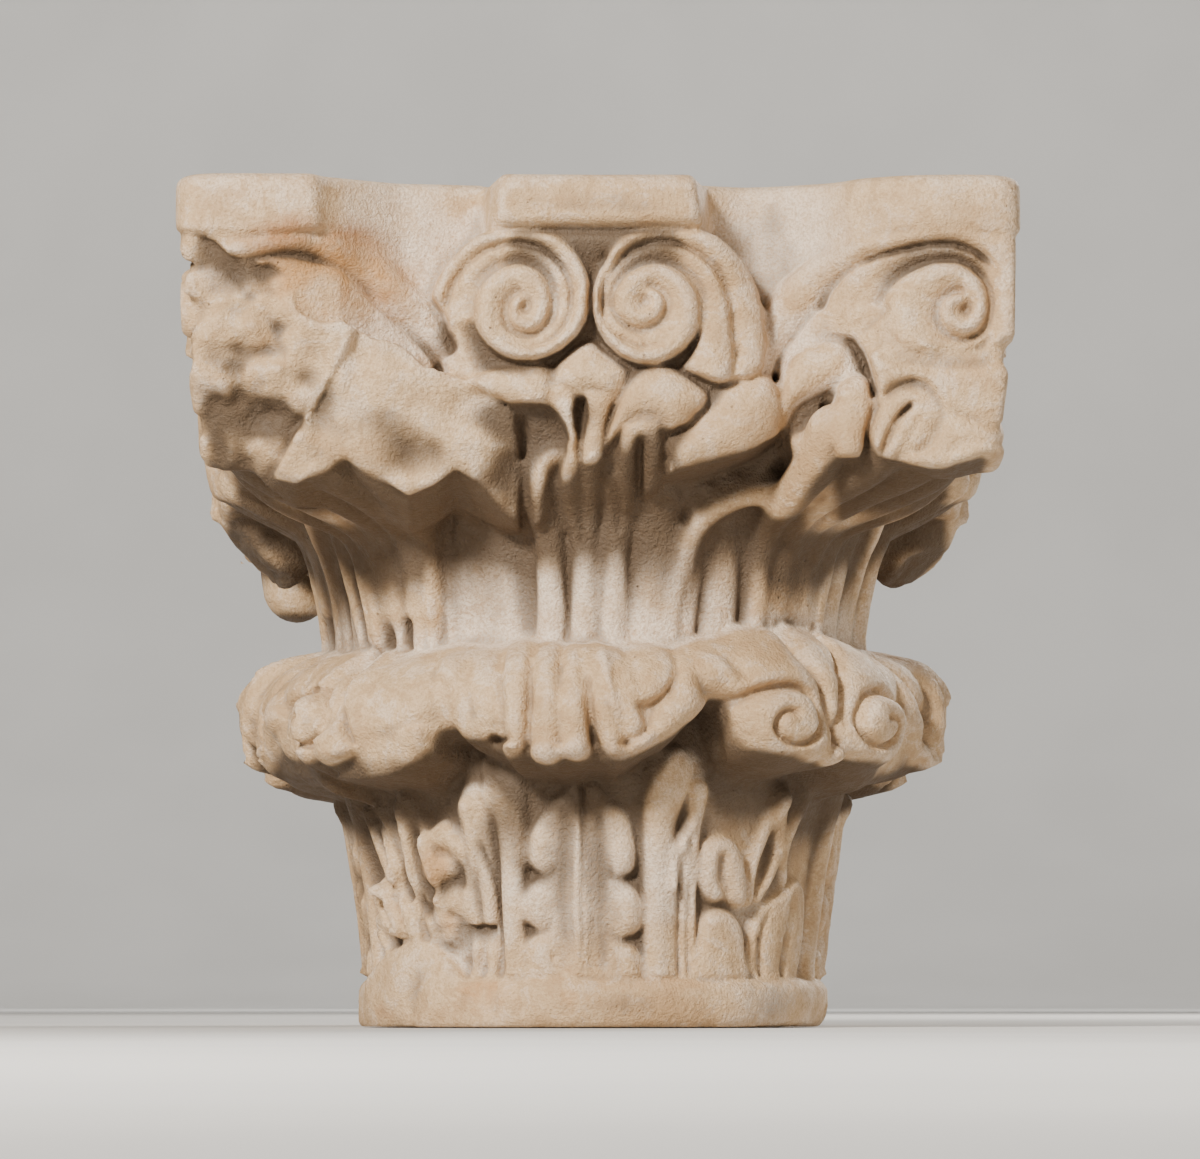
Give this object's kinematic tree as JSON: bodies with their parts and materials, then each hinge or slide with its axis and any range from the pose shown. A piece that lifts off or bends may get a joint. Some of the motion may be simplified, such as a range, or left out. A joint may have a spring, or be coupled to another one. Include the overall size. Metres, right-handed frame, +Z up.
{
  "type": "double capital",
  "caption": "Marble capital for a pair of columns: two leafy bells with volutes under one shared abacus, front corner broken.",
  "frame": {"origin": "centre of the underside, midway between the two rings that stand on the shafts", "axes": "+Z up, Y along the block from the damaged end face at -Y, X across the end faces"},
  "size_m": [0.3398, 0.5903, 0.342],
  "materials": {
    "marble": "worn hand-carved marble, matt, warm patina"
  },
  "bodies": {
    "root": {"double_capital": "marble"}
  },
  "joints": []
}
